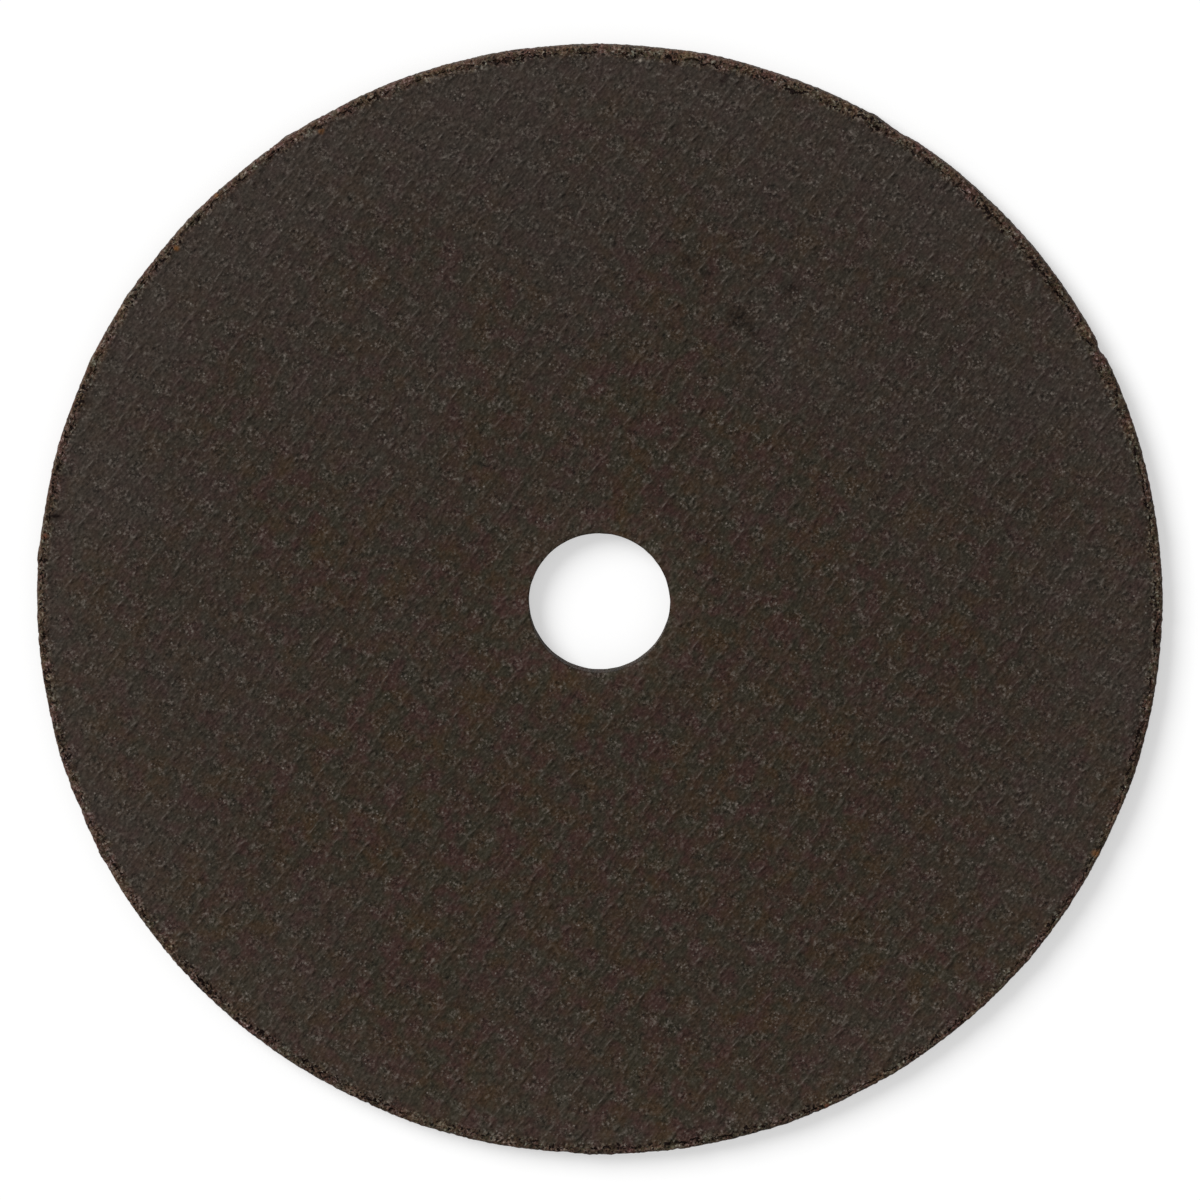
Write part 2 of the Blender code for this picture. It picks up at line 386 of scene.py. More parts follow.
def wear_point(vert, marks):
    """Bring one point to where the cloth's edge, the crack and the worn rim have it."""
    angle = math.atan2(vert.co.y, vert.co.x)
    radius = vert.co.xy.length
    place = vert.co.copy()
    front = vert.co.z > MIDDLE_HEIGHT
    down = -1.0 if front else 1.0
    wider = cloth_wider(angle if front else angle - BACK_CLOTH_TURN)
    height = vert.co.z
    if radius < CLOTH_RADIUS + SAME_PLACE:
        follow = max(0.0, 1.0 - (CLOTH_RADIUS - radius) / CLOTH_GATHER)
        near = max(0.0, 1.0 - (CLOTH_RADIUS - radius) / MM)
        if near > 0.0:
            height += down * PIT_DEPTH * pit_at(place, 0.75 * near)
        move_out(vert, radius - follow * wider, height)
        return
    inset = max(0.0, WHEEL_RADIUS - radius)
    follow = inset / CLOTH_MARGIN
    wear_and_highlight = RIM_WEAR + near_rim_place(angle, RIM_CHIPS) - near_rim_place(angle, RIM_BUMPS)
    wear_and_highlight += RIM_UNEVEN * drift(place, 4.5 * MM, 35.0)
    radius -= follow * wider + (1.0 - follow) * wear_and_highlight
    grain = RIM_GRAIN * (0.3 * drift(place, 0.5 * MM, 31.0) + 1.0 * drift(place, 0.25 * MM, 32.0))
    if inset > CLOTH_MARGIN - 1.5 * CRACK_WIDTH:
        opened = ramp(drift(place, 1.1 * MM, 41.0) + 0.9 * drift(place, 0.4 * MM, 42.0), 0.25, 0.55)
        height -= down * CRACK_DEPTH * (1.0 - opened)
        radius += 0.3 * grain
    else:
        opened = 0.0
        grain -= PIT_DEPTH * pit_at(place, 0.1 + 0.65 * follow)
        top = min(1.0, inset / (0.3 * MM))
        height -= down * grain * math.sqrt(top)
        radius += grain * math.sqrt(1.0 - top)
    # The open crack gets painted shade on top of its depth, none where it stays closed.
    vert[marks["painted_shade"]] = CRACK_SHADE * opened
    move_out(vert, min(radius, WHEEL_RADIUS), height)


def roughen_bore(vert, marks):
    """Roughen the bore's edge and wall, where small grains broke out."""
    place = vert.co.copy()
    grain = 0.02 * MM * (drift(place, 0.5 * MM, 51.0) - 0.5)
    move_out(vert, vert.co.xy.length - grain, vert.co.z)
    # The bore's wall gets painted shade.
    vert[marks["painted_shade"]] = BORE_SHADE
    vert[marks["from_cloth"]] = 0.3


def pressed_wheel():
    """The whole wheel in one closed piece."""
    bm = bmesh.new()
    names = ("across_warps", "along_warp", "from_cloth", "painted_shade")
    marks = {name: bm.verts.layers.float.new(name) for name in names}
    marks = {name: bm.verts.layers.float[name] for name in names}
    front_yarns = (WARP_DIRECTION, WEFT_DIRECTION)
    back_yarns = (WARP_DIRECTION + BACK_CLOTH_TURN, WEFT_DIRECTION + BACK_CLOTH_TURN)
    lay_rings(bm)
    back_crack, back_bore = cut_sheet(bm, 0.0, *back_yarns, BACK_WARP_CUTS, BACK_WEFT_CUTS)
    front_crack, front_bore = cut_sheet(bm, WHEEL_THICKNESS, *front_yarns, FRONT_WARP_CUTS, FRONT_WEFT_CUTS)
    close_rim(bm, front_crack, back_crack)
    close_bore(bm, front_bore, back_bore)
    for vert in bm.verts:
        front = vert.co.z > MIDDLE_HEIGHT
        yarns = front_yarns if front else back_yarns
        vert[marks["across_warps"]], vert[marks["along_warp"]] = place_in_weave(vert.co, *yarns)
        radius = vert.co.xy.length
        vert[marks["from_cloth"]] = (radius - CLOTH_RADIUS) / MM
        if radius < BORE_RADIUS + SAME_PLACE:
            roughen_bore(vert, marks)
            continue
        if radius < CLOTH_RADIUS + SAME_PLACE:
            press_point(vert, -1.0 if front else 1.0, *yarns)
        wear_point(vert, marks)
    wide = [face for face in bm.faces if len(face.verts) > 4]
    bmesh.ops.triangulate(bm, faces=wide, quad_method="BEAUTY", ngon_method="BEAUTY")
    bmesh.ops.recalc_face_normals(bm, faces=bm.faces)
    mesh = bpy.data.meshes.new("pressed_wheel")
    bm.to_mesh(mesh)
    bm.free()
    mesh.shade_smooth()
    mesh.set_sharp_from_angle(angle=math.radians(50.0))
    wheel = bpy.data.objects.new("pressed_wheel", mesh)
    bpy.context.scene.collection.objects.link(wheel)
    return wheel


def put(tree, kind, inputs=None, **settings):
    """Add a node, set its options, and set or link its inputs."""
    made = tree.nodes.new(kind)
    for name, value in settings.items():
        setattr(made, name, value)
    for name, value in (inputs or {}).items():
        if isinstance(value, bpy.types.NodeSocket):
            tree.links.new(value, made.inputs[name])
        else:
            made.inputs[name].default_value = value
    return made


def speckle(tree, coords, scale, detail=2.0, roughness=0.5, kind="2D"):
    """Noise from 0 to 1, with this many lumps to the millimetre. Flat noise runs straight through the wheel."""
    return put(
        tree,
        "ShaderNodeTexNoise",
        {"Vector": coords, "Scale": scale, "Detail": detail, "Roughness": roughness},
        noise_dimensions=kind,
    ).outputs["Fac"]


def profile(tree, share, stops, interpolation):
    """A curve through these stops, each a place from 0 to 1 and the value there."""
    drawn = put(tree, "ShaderNodeValToRGB", {"Fac": share})
    drawn.color_ramp.interpolation = interpolation
    for number, (place, value) in enumerate(stops):
        elements = drawn.color_ramp.elements
        stop = elements[number] if number < 2 else elements.new(place)
        stop.position = place
        stop.color = (value, value, value, 1.0)
    return drawn.outputs["Color"]


def grey(tree, value):
    """A grey of this value."""
    return put(tree, "ShaderNodeCombineColor", {"Red": value, "Green": value, "Blue": value}).outputs[0]


def sum_up(tree, operation, first, second, clamp=False):
    """One math node."""
    return put(tree, "ShaderNodeMath", {0: first, 1: second}, operation=operation, use_clamp=clamp).outputs[0]


def span(tree, value, low, high, to_low, to_high):
    """Map a value from one range to another."""
    return put(
        tree,
        "ShaderNodeMapRange",
        {"Value": value, "From Min": low, "From Max": high, "To Min": to_low, "To Max": to_high},
    ).outputs["Result"]


def blend_colors(tree, share, first, second, kind="MIX"):
    """Mix two colours by a share, or with another blend."""
    mix = put(tree, "ShaderNodeMix", data_type="RGBA", blend_type=kind)
    for index, value in ((0, share), (6, first), (7, second)):
        if isinstance(value, bpy.types.NodeSocket):
            tree.links.new(value, mix.inputs[index])
        else:
            mix.inputs[index].default_value = value
    return mix.outputs[2]


# The resin's colours, the pale grain in it, which also carries painted light and painted glints, the painted
# highlight along the warp ridges, the painted shade of its cracks and holes, and the dark of its stains
RESIN_COLOR = (0.0344, 0.0219, 0.0133, 1.0)
OCHRE_COLOR = (0.0412, 0.0231, 0.0100, 1.0)
PURPLE_COLOR = (0.0407, 0.0184, 0.0163, 1.0)
GREEN_COLOR = (0.0260, 0.0241, 0.0150, 1.0)
GREY_COLOR = (0.0350, 0.0271, 0.0225, 1.0)
PALE_GRAIN = (0.1770, 0.1538, 0.1330, 1.0)
RIDGE_HIGHLIGHT_COLOR = (0.0920, 0.0790, 0.0680, 1.0)
CRACK_COLOR = (0.0050, 0.0014, 0.0006, 1.0)
STAIN_COLOR = (0.0050, 0.0030, 0.0018, 1.0)

# The resin's tints with how many patches of each there are to the millimetre, and the brownest place in mm
RESIN_TINTS = ((OCHRE_COLOR, 0.3), (PURPLE_COLOR, 0.5), (GREEN_COLOR, 0.8))
BROWNEST_PLACE = (1.0, -11.0)

# The rim's bare grains. The resin's tint is scaled to about 1 before it colours them
RIM_COLOR = (0.0620, 0.0350, 0.0225, 1.0)
RED_GRAIN = (0.0760, 0.0360, 0.0270, 1.0)
OLIVE_GRAIN = (0.0580, 0.0430, 0.0220, 1.0)
PALE_RIM_GRAIN = (0.2900, 0.2500, 0.2080, 1.0)
TINT_SCALE = (28.2, 45.9, 71.0)
OUTERMOST_TINT = (1.10, 0.99, 0.97, 1.0)

# Grains with their own colour, and dark stains: place on the face in mm, how far each reaches, and colour or depth
RUST_COLOR = (0.1500, 0.0620, 0.0180, 1.0)
DULL_RED = (0.1250, 0.0420, 0.0230, 1.0)
DARK_RED = (0.0060, 0.0010, 0.0008, 1.0)
ODD_GRAINS = (
    (-37.42, 4.5, 0.33, DULL_RED),
    (-18.7, 32.2, 0.33, RUST_COLOR),
    (-25.8, 27.8, 0.28, RUST_COLOR),
    (-28.5, 24.2, 0.33, RUST_COLOR),
    (33.6, -17.1, 0.45, RUST_COLOR),
    (15.5, -34.6, 0.30, DULL_RED),
    (8.45, 35.87, 0.40, DARK_RED),
    (8.25, 35.66, 0.38, DARK_RED),
    (2.76, 37.05, 0.18, PALE_RIM_GRAIN),
)
DARK_STAINS = (
    (9.35, 19.5, 1.2, 1.0),
    (10.3, 18.6, 0.8, 0.6),
    (6.0, 23.4, 0.9, 0.6),
    (7.2, 22.6, 0.7, 0.5),
    (12.9, 21.6, 0.9, 0.65),
    (21.9, 21.6, 0.8, 0.55),
)

# The one crack that runs in from the rim: its middle, half its length and half its width, in mm
SIDE_CRACK = (-36.75, 5.86, 0.78, 0.22)

# The fine streaks of the glass fibre: which way they run, their length and width in mm, and how high they are
STREAK_DIRECTION = WARP_DIRECTION - math.radians(4.0)
STREAK_SIZE = (0.45, 0.17, 0.17)
STREAK_HEIGHT = 0.037

# How high the warp's beads are and how far they lean over, from one double crossing to the next
BEAD_HEIGHTS = (
    (0.0, 1.0), (0.12, 0.15), (0.2, 0.8), (0.31, 0.0), (0.36, 0.0), (0.46, 0.45),
    (0.56, 0.0), (0.605, 0.0), (0.715, 0.8), (0.825, 0.0), (0.84, 0.0), (1.0, 1.0),
)
BEAD_LEANS = (
    (0.0, 0.5), (0.119, 0.8), (0.121, 0.3), (0.334, 0.84), (0.336, 0.19),
    (0.587, 0.82), (0.589, 0.18), (0.844, 0.82), (0.846, 0.11), (1.0, 0.5),
)


def bell(tree, value, reach):
    """1 where the value is 0, falling smoothly to 0 at this reach on either side."""
    size = sum_up(tree, "ABSOLUTE", value, 0.0)
    return put(
        tree,
        "ShaderNodeMapRange",
        {"Value": size, "From Min": 0.0, "From Max": reach, "To Min": 1.0, "To Max": 0.0},
        interpolation_type="SMOOTHSTEP",
    ).outputs["Result"]


def band(tree, turns, place, spacing, low, high):
    """1 within low of the places that lie this far apart, falling smoothly to 0 at high."""
    off = sum_up(tree, "PINGPONG", sum_up(tree, "SUBTRACT", turns, place), spacing / 2)
    return put(
        tree,
        "ShaderNodeMapRange",
        {"Value": off, "From Min": low, "From Max": high, "To Min": 1.0, "To Max": 0.0},
        interpolation_type="SMOOTHSTEP",
    ).outputs["Result"]


def wrapped(tree, turns, reach):
    """The value moved by whole steps until it lies within this reach of 0."""
    return put(tree, "ShaderNodeMath", {0: turns, 1: reach, 2: -reach}, operation="WRAP").outputs[0]


def distance_to(tree, coords, x, y):
    """Flat distance in mm from this place on the face."""
    moved = put(tree, "ShaderNodeVectorMath", {0: coords, 1: (x, y, 0.0)}, operation="SUBTRACT").outputs[0]
    flat = put(tree, "ShaderNodeVectorMath", {0: moved, 1: (1.0, 1.0, 0.0)}, operation="MULTIPLY").outputs[0]
    return put(tree, "ShaderNodeVectorMath", {0: flat}, operation="LENGTH").outputs["Value"]


def reach_towards(tree, coords, x, y):
    """How many mm from the middle this is in one direction on the face."""
    return put(tree, "ShaderNodeVectorMath", {0: coords, 1: (x, y, 0.0)}, operation="DOT_PRODUCT").outputs["Value"]


def upwards(tree, coords):
    """How many mm above the middle this is in the photograph."""
    return reach_towards(tree, coords, 0.0, 1.0)


def shade(tree, color, light):
    """The colour in this much light."""
    return blend_colors(tree, 1.0, color, grey(tree, light), "MULTIPLY")


def dimmed(tree, grain, strength):
    """How much light is left where the grain lies deep: 1 at 0 and less below it."""
    return sum_up(tree, "POWER", 2.0, sum_up(tree, "MULTIPLY", sum_up(tree, "MINIMUM", grain, 0.0), strength))


def lit_up(tree, grain, strength):
    """How much painted light the grain gets in pale grain colour where it stands up: 0 at 0 and more above it."""
    return sum_up(tree, "POWER", sum_up(tree, "MULTIPLY", sum_up(tree, "MAXIMUM", grain, 0.0), strength), 1.5)


def tinted_resin(tree, coords):
    """Brown resin greyer and lighter towards the rim, with painted light that makes it lighter towards the lower
    left, and the tint alone, which changes from place to place.
    """
    color = RESIN_COLOR
    for number, (tint, size) in enumerate(RESIN_TINTS):
        moved = put(tree, "ShaderNodeMapping", {"Vector": coords, "Location": (31.0 * number, 17.0, 5.0)}).outputs[0]
        share = span(tree, speckle(tree, moved, size), 0.42, 0.65, 0.0, 0.78)
        color = blend_colors(tree, share, color, tint)
    tints = put(tree, "ShaderNodeVectorMath", {0: color, 1: TINT_SCALE}, operation="MULTIPLY").outputs[0]

    uneven = span(tree, speckle(tree, coords, 0.11, 1.0), 0.26, 0.74, -9.0, 9.0)
    greyer = sum_up(tree, "ADD", distance_to(tree, coords, *BROWNEST_PLACE), uneven)
    color = blend_colors(tree, span(tree, greyer, 16.0, 47.0, 0.0, 0.72), color, GREY_COLOR)

    radius = distance_to(tree, coords, 0.0, 0.0)
    lighter = sum_up(tree, "ADD", span(tree, radius, 29.0, 37.5, 1.0, 1.16), span(tree, radius, 4.9, 8.0, 0.22, 0.0))
    # Painted light: the face is lighter towards the lower left and darker towards the upper right.
    lower_left = span(tree, reach_towards(tree, coords, -0.9, -0.42), -38.0, 38.0, -0.075, 0.075)
    lighter = sum_up(tree, "ADD", lighter, lower_left)
    above_foot = span(tree, upwards(tree, coords), -36.0, -26.0, 0.2, 1.0)
    at_edge = sum_up(tree, "MULTIPLY", span(tree, radius, 36.7, 37.1, 0.0, 0.13), above_foot)
    lighter = sum_up(tree, "SUBTRACT", lighter, at_edge)
    return shade(tree, color, lighter), tints


def bare_grit(tree, coords, from_cloth, tints, fine, lumps, crumbs):
    """The rim's bare grains: brown, red and olive ones of different depth with painted shade where they lie deep,
    pale chips that are partly pale grains and partly painted light, dark gaps of painted shade, and painted light
    that makes them lighter towards the top.
    """
    pick = put(tree, "ShaderNodeSeparateColor", {"Color": crumbs.outputs["Color"]}).outputs
    depth = sum_up(tree, "ADD", span(tree, pick["Green"], 0.0, 1.0, -0.6, 0.7), span(tree, fine, 0.3, 0.7, -1.1, 1.1))
    color = blend_colors(tree, span(tree, pick["Red"], 0.3, 1.0, 0.0, 0.8), RIM_COLOR, RED_GRAIN)
    color = blend_colors(tree, span(tree, pick["Blue"], 0.4, 1.0, 0.0, 0.8), color, OLIVE_GRAIN)
    # Painted shade where the grains lie deep.
    color = shade(tree, color, dimmed(tree, depth, 1.3))

    # Pale grains in the large cores, and painted light where the grains stand up.
    cores = span(tree, crumbs.outputs["Distance"], 0.2, 0.45, 0.6, 0.0)
    large = sum_up(tree, "MULTIPLY", sum_up(tree, "POWER", pick["Green"], 8.0), cores)
    pale = sum_up(tree, "ADD", lit_up(tree, depth, 0.45), large, clamp=True)
    color = blend_colors(tree, pale, color, PALE_RIM_GRAIN)

    # Painted shade in the gaps between grains, and painted light that makes the rim lighter towards the top.
    gaps = span(tree, lumps, 0.33, 0.38, 0.1, 1.0)
    gaps = sum_up(tree, "MULTIPLY", gaps, span(tree, upwards(tree, coords), -38.0, 38.0, 1.02, 1.11))
    color = blend_colors(tree, 0.6, shade(tree, color, gaps), tints, "MULTIPLY")
    return blend_colors(tree, span(tree, from_cloth, 0.35, 0.5, 0.0, 1.0), color, OUTERMOST_TINT, "MULTIPLY")


def pressed_yarns(tree, coords, from_cloth):
    """From the piece's own weave marks: the windows between yarns, the beads of the warp, and where the painted
    highlight runs along each warp ridge.
    """
    across_warps = put(tree, "ShaderNodeAttribute", attribute_name="across_warps").outputs["Fac"]
    along_warp = put(tree, "ShaderNodeAttribute", attribute_name="along_warp").outputs["Fac"]
    frayed = span(tree, speckle(tree, coords, 1.3, 2.0, 0.6), 0.2, 0.8, -0.16, 0.16)
    across_frayed = sum_up(tree, "ADD", across_warps, frayed)
    along_frayed = sum_up(tree, "SUBTRACT", along_warp, sum_up(tree, "MULTIPLY", frayed, 0.5))
    window = sum_up(
        tree,
        "MULTIPLY",
        band(tree, across_frayed, -0.55, 1.0, 0.24, 0.42),
        band(tree, along_frayed, 0.25, 0.5, 0.09, 0.18),
    )
    patchy = span(tree, speckle(tree, coords, 0.3, 0.0), 0.2, 0.8, 0.6, 1.1)
    window = sum_up(tree, "MULTIPLY", window, patchy, clamp=True)

    fullness = span(tree, speckle(tree, coords, 1.0, 2.0, 0.65), 0.38, 0.72, 0.0, 1.7)
    fullness = sum_up(tree, "MULTIPLY", fullness, span(tree, from_cloth, -0.5, 0.0, 1.0, 0.0))
    turn = sum_up(tree, "FRACT", along_warp, 0.0)
    bead = sum_up(tree, "MULTIPLY", profile(tree, turn, BEAD_HEIGHTS, "EASE"), fullness)
    lean = span(tree, profile(tree, turn, BEAD_LEANS, "LINEAR"), 0.0, 1.0, -BEAD_LEAN / 2, BEAD_LEAN / 2)
    from_ridge = wrapped(tree, sum_up(tree, "ADD", across_warps, lean), 0.5)
    proud = sum_up(tree, "MULTIPLY", bead, bell(tree, from_ridge, 0.13))
    # Painted highlight: a pale line along the upper-left flank of each warp ridge, the flank that faces the lamp.
    ridge_highlight = sum_up(tree, "MULTIPLY", bead, bell(tree, sum_up(tree, "SUBTRACT", from_ridge, 0.06), 0.07))
    return window, proud, ridge_highlight


def crack_and_holes(tree, coords, ragged, lumps):
    """Where the broken, jagged crack along the cloth's edge, the small holes on both sides of it, and the side crack
    get painted shade, near black.
    """
    off = sum_up(tree, "ABSOLUTE", sum_up(tree, "SUBTRACT", ragged, 0.02), 0.0)
    width = span(tree, speckle(tree, coords, 0.9, 2.0, 0.6, "3D"), 0.5, 0.64, -0.02, 0.06)
    width = sum_up(tree, "ADD", width, span(tree, reach_towards(tree, coords, 0.5, 0.87), -38.0, 38.0, -0.02, 0.04))
    crack = span(tree, sum_up(tree, "SUBTRACT", width, off), 0.0, 0.02, 0.0, 1.0)

    inside = span(tree, ragged, -0.45, -0.05, -0.15, 0.13)
    near = sum_up(tree, "MINIMUM", inside, span(tree, ragged, 0.05, 0.6, 0.13, 0.0))
    slow = span(tree, speckle(tree, coords, 0.5, 0.0, 0.5, "3D"), 0.2, 0.8, -0.11, 0.12)
    holes = span(tree, sum_up(tree, "ADD", lumps, sum_up(tree, "ADD", slow, near)), 0.725, 0.75, 0.0, 1.0)

    x, y, half_length, half_width = SIDE_CRACK
    lengthways = bell(tree, sum_up(tree, "SUBTRACT", reach_towards(tree, coords, 1.0, 0.0), x), half_length)
    sideways = bell(tree, sum_up(tree, "SUBTRACT", upwards(tree, coords), y), half_width)
    side = sum_up(tree, "MULTIPLY", sum_up(tree, "MULTIPLY", lengthways, sideways), 1.3, clamp=True)
    return sum_up(tree, "MAXIMUM", side, sum_up(tree, "MAXIMUM", crack, holes))


def grain_height(tree, coords, fine, crumbs, streaks, loose, window):
    """How high the grain of the resin stands, above and below 0."""
    pick = put(tree, "ShaderNodeSeparateColor", {"Color": crumbs.outputs["Color"]}).outputs
    pits = span(tree, speckle(tree, coords, 2.7, 1.0, 0.6), 0.27, 0.42, 1.0, 0.0)
    grain = span(tree, fine, 0.25, 0.75, -1.45, 1.45)
    grain = sum_up(tree, "ADD", grain, span(tree, pick["Green"], 0.0, 1.0, -1.1, 1.1))
    grain = sum_up(tree, "SUBTRACT", grain, sum_up(tree, "MULTIPLY", pits, 0.9))
    grain = sum_up(tree, "MULTIPLY", grain, loose)
    grain = sum_up(tree, "ADD", grain, span(tree, streaks, 0.3, 0.75, -0.25, 0.5))
    return sum_up(tree, "SUBTRACT", grain, span(tree, window, 0.0, 1.0, 0.16, 0.0))


def grainy_face(tree, resin, grain, pebbles, loose):
    """The resin with painted shade where its grain lies deep, painted light in pale grain colour where it stands up,
    and single pale specks that are partly pale grains and partly painted glints.
    """
    pick = put(tree, "ShaderNodeSeparateColor", {"Color": pebbles.outputs["Color"]}).outputs
    # Single pale specks: partly pale grains and partly painted glints.
    bright = sum_up(tree, "POWER", pick["Red"], 2.0)
    bright = sum_up(tree, "ADD", bright, span(tree, pick["Blue"], 0.965, 1.0, 0.0, 1.2))
    specks = sum_up(tree, "MULTIPLY", span(tree, pebbles.outputs["Distance"], 0.10, 0.30, 0.9, 0.0), bright)
    specks = sum_up(tree, "MULTIPLY", specks, loose)
    pale = sum_up(tree, "ADD", lit_up(tree, grain, 0.34), specks, clamp=True)
    return blend_colors(tree, pale, shade(tree, resin, dimmed(tree, grain, 0.72)), PALE_GRAIN)


def with_stains(tree, coords, fine, color):
    """The colour with the dark stains on it, thinner where the fine grain stands up."""
    for x, y, reach, depth in DARK_STAINS:
        stain = bell(tree, distance_to(tree, coords, x, y), reach)
        wear_and_highlight = span(tree, fine, 0.35, 0.65, 1.2 * depth, 0.3 * depth)
        color = blend_colors(tree, sum_up(tree, "MULTIPLY", stain, wear_and_highlight, clamp=True), color, STAIN_COLOR)
    return color


def with_odd_grains(tree, coords, fine, color):
    """The colour with the single grains of other colours in it."""
    for x, y, reach, odd_color in ODD_GRAINS:
        share = bell(tree, distance_to(tree, coords, x, y), reach)
        share = sum_up(tree, "MULTIPLY", share, span(tree, fine, 0.35, 0.55, 0.4, 1.0))
        color = blend_colors(tree, share, color, odd_color)
    return color


def fine_relief(tree, streaks, proud, fine, pebbles, loose):
    """The relief that is finer than the mesh: streaks and beads of fibre, with the grain on top of them."""
    beads = sum_up(tree, "MULTIPLY", proud, BEAD_HEIGHT)
    height = sum_up(tree, "ADD", sum_up(tree, "MULTIPLY", streaks, STREAK_HEIGHT), beads)
    yarns = put(tree, "ShaderNodeBump", {"Height": height, "Distance": MM, "Strength": 1.0}).outputs["Normal"]
    height = sum_up(tree, "SUBTRACT", fine, sum_up(tree, "MULTIPLY", pebbles.outputs["Distance"], 0.5))
    strength = sum_up(tree, "MULTIPLY", loose, 0.5, clamp=True)
    return put(
        tree,
        "ShaderNodeBump",
        {"Height": height, "Distance": 0.25 * MM, "Strength": strength, "Normal": yarns},
    ).outputs["Normal"]


def grain_and_resin():
    """Dark brown resin full of fine grain, smoother where the yarns lie and coarse at the bare rim."""
    material = bpy.data.materials.new("grain_and_resin")
    material.use_nodes = True
    tree = material.node_tree
    shader = tree.nodes["Principled BSDF"]
    place = put(tree, "ShaderNodeTexCoord").outputs["Object"]
    coords = put(tree, "ShaderNodeMapping", {"Vector": place, "Scale": (1000.0, 1000.0, 1000.0)}).outputs[0]
    along_yarns = put(
        tree,
        "ShaderNodeMapping",
        {"Vector": coords, "Rotation": (0.0, 0.0, STREAK_DIRECTION), "Scale": STREAK_SIZE},
        vector_type="TEXTURE",
    ).outputs[0]
    painted_shade = put(tree, "ShaderNodeAttribute", attribute_name="painted_shade").outputs["Fac"]
    from_cloth = put(tree, "ShaderNodeAttribute", attribute_name="from_cloth").outputs["Fac"]

    pebbles = put(tree, "ShaderNodeTexVoronoi", {"Vector": coords, "Scale": 3.6}, feature="F1")
    crumbs = put(tree, "ShaderNodeTexVoronoi", {"Vector": coords, "Scale": 6.0}, feature="F1")
    fine = speckle(tree, coords, 4.4, 2.0, 0.62, "3D")
    lumps = speckle(tree, coords, 3.4, 1.0, 0.6, "3D")
    streaks = speckle(tree, along_yarns, 1.0, 0.4, 0.6)
    jagged = span(tree, speckle(tree, coords, 1.5, 3.0, 0.7, "3D"), 0.3, 0.7, -0.24, 0.24)

    ragged = sum_up(tree, "ADD", from_cloth, jagged)
    bare = span(tree, ragged, -0.4, 0.15, 0.0, 1.0)
    holes = crack_and_holes(tree, coords, ragged, lumps)
    window, proud, ridge_highlight = pressed_yarns(tree, coords, from_cloth)
    loose = span(tree, sum_up(tree, "MAXIMUM", window, bare), 0.0, 1.0, 0.42, 0.92)
    loose = sum_up(tree, "ADD", loose, sum_up(tree, "MULTIPLY", bare, 0.8))

    resin, tints = tinted_resin(tree, coords)
    grain = grain_height(tree, coords, fine, crumbs, streaks, loose, window)
    color = grainy_face(tree, resin, grain, pebbles, loose)
    # Painted highlight along the warp ridges, patchy with the fine grain.
    wear_and_highlight = sum_up(tree, "MULTIPLY", span(tree, fine, 0.40, 0.60, 0.1, 0.7), ridge_highlight, clamp=True)
    color = blend_colors(tree, wear_and_highlight, color, RIDGE_HIGHLIGHT_COLOR)
    color = with_stains(tree, coords, fine, color)
    color = blend_colors(tree, bare, color, bare_grit(tree, coords, from_cloth, tints, fine, lumps, crumbs))
    color = with_odd_grains(tree, coords, fine, color)
    # Painted shade: near black in the open crack, on the bore's wall, along the crack line, in the small holes and in
    # the side crack.
    color = blend_colors(tree, sum_up(tree, "MAXIMUM", painted_shade, holes), color, CRACK_COLOR)
    tree.links.new(color, shader.inputs["Base Color"])
    tree.links.new(fine_relief(tree, streaks, proud, fine, pebbles, loose), shader.inputs["Normal"])
    tree.links.new(span(tree, fine, 0.3, 0.7, 0.5, 0.8), shader.inputs["Roughness"])
    shader.inputs["Specular IOR Level"].default_value = 0.1
    return material


# The floor: its size in metres, how far it lies under the wheel, its grey, and the glow that the camera sees
FLOOR_SIZE = 6.0
FLOOR_GAP = 0.02 * MM
FLOOR_GREY = 0.55
FLOOR_GLOW = 0.48


def pale_floor():
    """A plain pale floor, just under the wheel."""
    bpy.ops.mesh.primitive_plane_add(size=FLOOR_SIZE, location=(0.0, 0.0, 0.0))
    floor = bpy.context.object
    floor.name = "floor"
    floor.location.z = -FLOOR_GAP
    material = bpy.data.materials.new("pale_floor")
    material.use_nodes = True
    tree = material.node_tree
    shader = tree.nodes["Principled BSDF"]
    shader.inputs["Base Color"].default_value = (FLOOR_GREY, FLOOR_GREY, FLOOR_GREY, 1.0)
    shader.inputs["Roughness"].default_value = 0.9
    shader.inputs["Specular IOR Level"].default_value = 0.0
    light_path = put(tree, "ShaderNodeLightPath")
    seen = sum_up(
        tree,
        "MAXIMUM",
        light_path.outputs["Is Camera Ray"],
        sum_up(tree, "MAXIMUM", light_path.outputs["Is Glossy Ray"], light_path.outputs["Is Transmission Ray"]),
    )
    shader.inputs["Emission Color"].default_value = (1.0, 1.0, 1.0, 1.0)
    tree.links.new(sum_up(tree, "MULTIPLY", seen, FLOOR_GLOW), shader.inputs["Emission Strength"])
    floor.data.materials.append(material)


# The camera: how far it leans from straight above, towards which side, how far away it is, and its lens in mm
CAMERA_LEAN = math.radians(9.99)
CAMERA_SIDE = math.radians(84.50)
CAMERA_DISTANCE = 1.4
CAMERA_LENS = 621.8
CAMERA_TARGET = Vector((0.0455 * MM, 0.2304 * MM, WHEEL_THICKNESS))


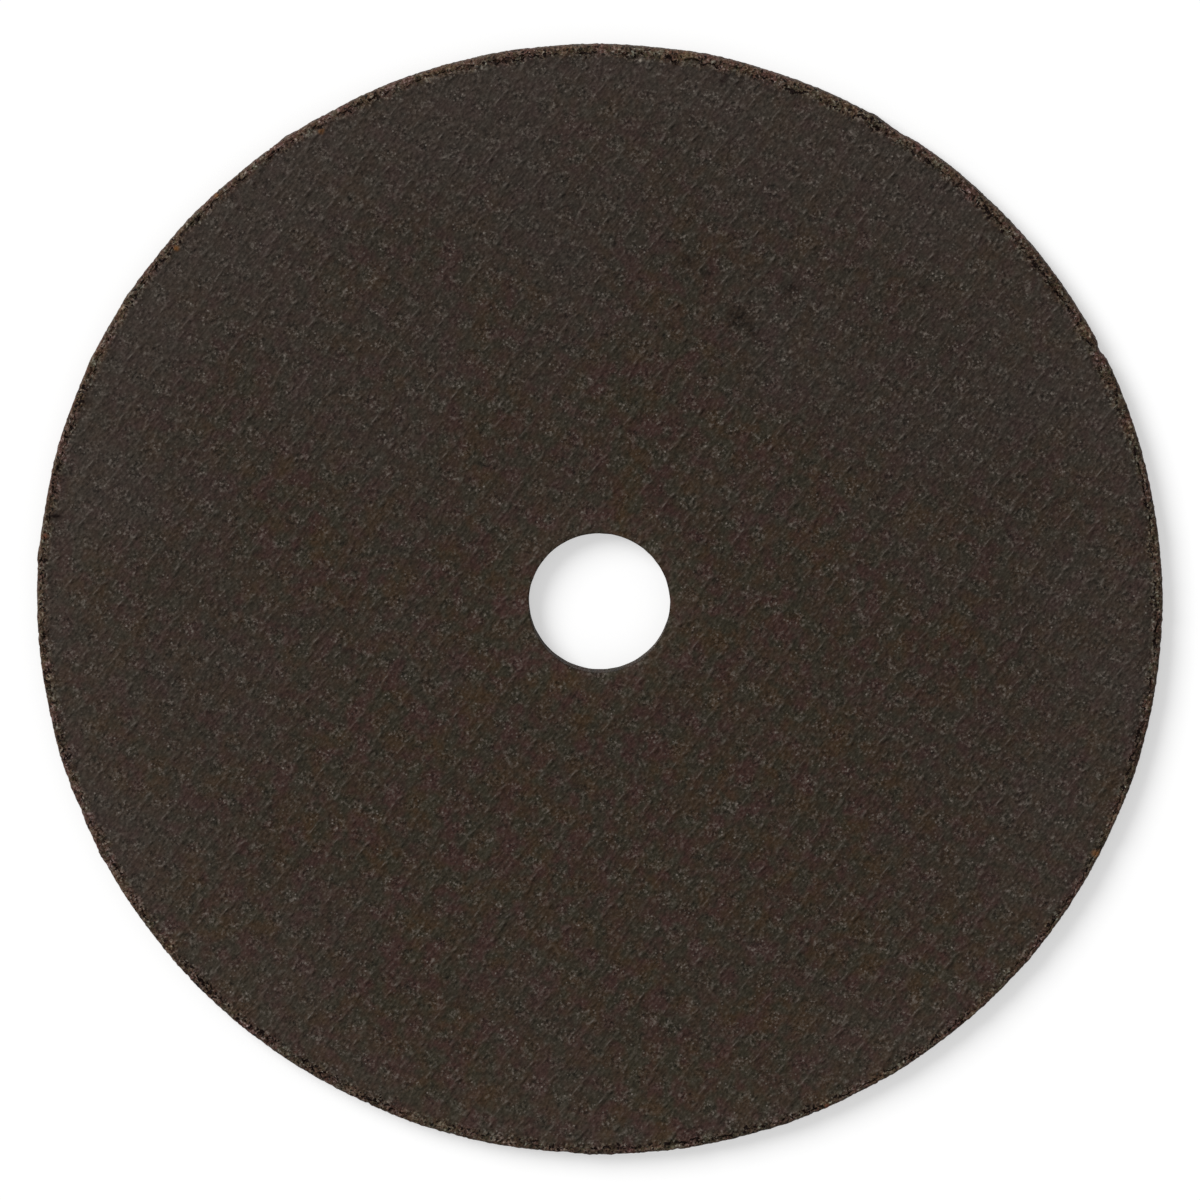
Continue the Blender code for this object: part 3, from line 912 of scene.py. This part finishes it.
def look_down():
    """A long lens that looks down on the wheel, leaning a little towards the top of the photograph."""
    towards = Vector(
        (
            math.sin(CAMERA_LEAN) * math.cos(CAMERA_SIDE),
            math.sin(CAMERA_LEAN) * math.sin(CAMERA_SIDE),
            math.cos(CAMERA_LEAN),
        )
    )
    right = Vector((0.0, 1.0, 0.0)).cross(towards).normalized()
    up = towards.cross(right)
    data = bpy.data.cameras.new("camera")
    data.lens = CAMERA_LENS
    data.sensor_width = 36.0
    data.clip_start = 0.1
    data.clip_end = 10.0
    camera = bpy.data.objects.new("camera", data)
    turn = Matrix((right, up, towards)).transposed().to_4x4()
    camera.matrix_world = Matrix.Translation(CAMERA_TARGET + CAMERA_DISTANCE * towards) @ turn
    bpy.context.scene.collection.objects.link(camera)
    bpy.context.scene.camera = camera


# Plain soft light: an even sky, and a broad lamp from the upper left that brings out the weave
SKY_STRENGTH = 0.42
LAMP_SHARE = 0.58
LAMP_SIDE = math.radians(140.0)
LAMP_RISE = math.radians(38.0)
LAMP_ANGLE = math.radians(35.0)


def soft_light():
    """The sky and the lamp together light a level surface at a strength of 1."""
    world = bpy.data.worlds.new("sky")
    world.use_nodes = True
    world.node_tree.nodes["Background"].inputs["Color"].default_value = (1.0, 1.0, 1.0, 1.0)
    world.node_tree.nodes["Background"].inputs["Strength"].default_value = SKY_STRENGTH
    bpy.context.scene.world = world
    data = bpy.data.lights.new("lamp", "SUN")
    data.energy = LAMP_SHARE * math.pi / math.sin(LAMP_RISE)
    data.angle = LAMP_ANGLE
    lamp = bpy.data.objects.new("lamp", data)
    flat = math.cos(LAMP_RISE)
    towards = Vector((flat * math.cos(LAMP_SIDE), flat * math.sin(LAMP_SIDE), math.sin(LAMP_RISE)))
    lamp.matrix_world = towards.to_track_quat("Z", "Y").to_matrix().to_4x4()
    bpy.context.scene.collection.objects.link(lamp)


look_down()
soft_light()
pale_floor()
wheel = pressed_wheel()
wheel.data.materials.append(grain_and_resin())
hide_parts("cutoff_wheel")
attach(wheel, "root")
bpy.context.scene.view_settings.view_transform = "Standard"
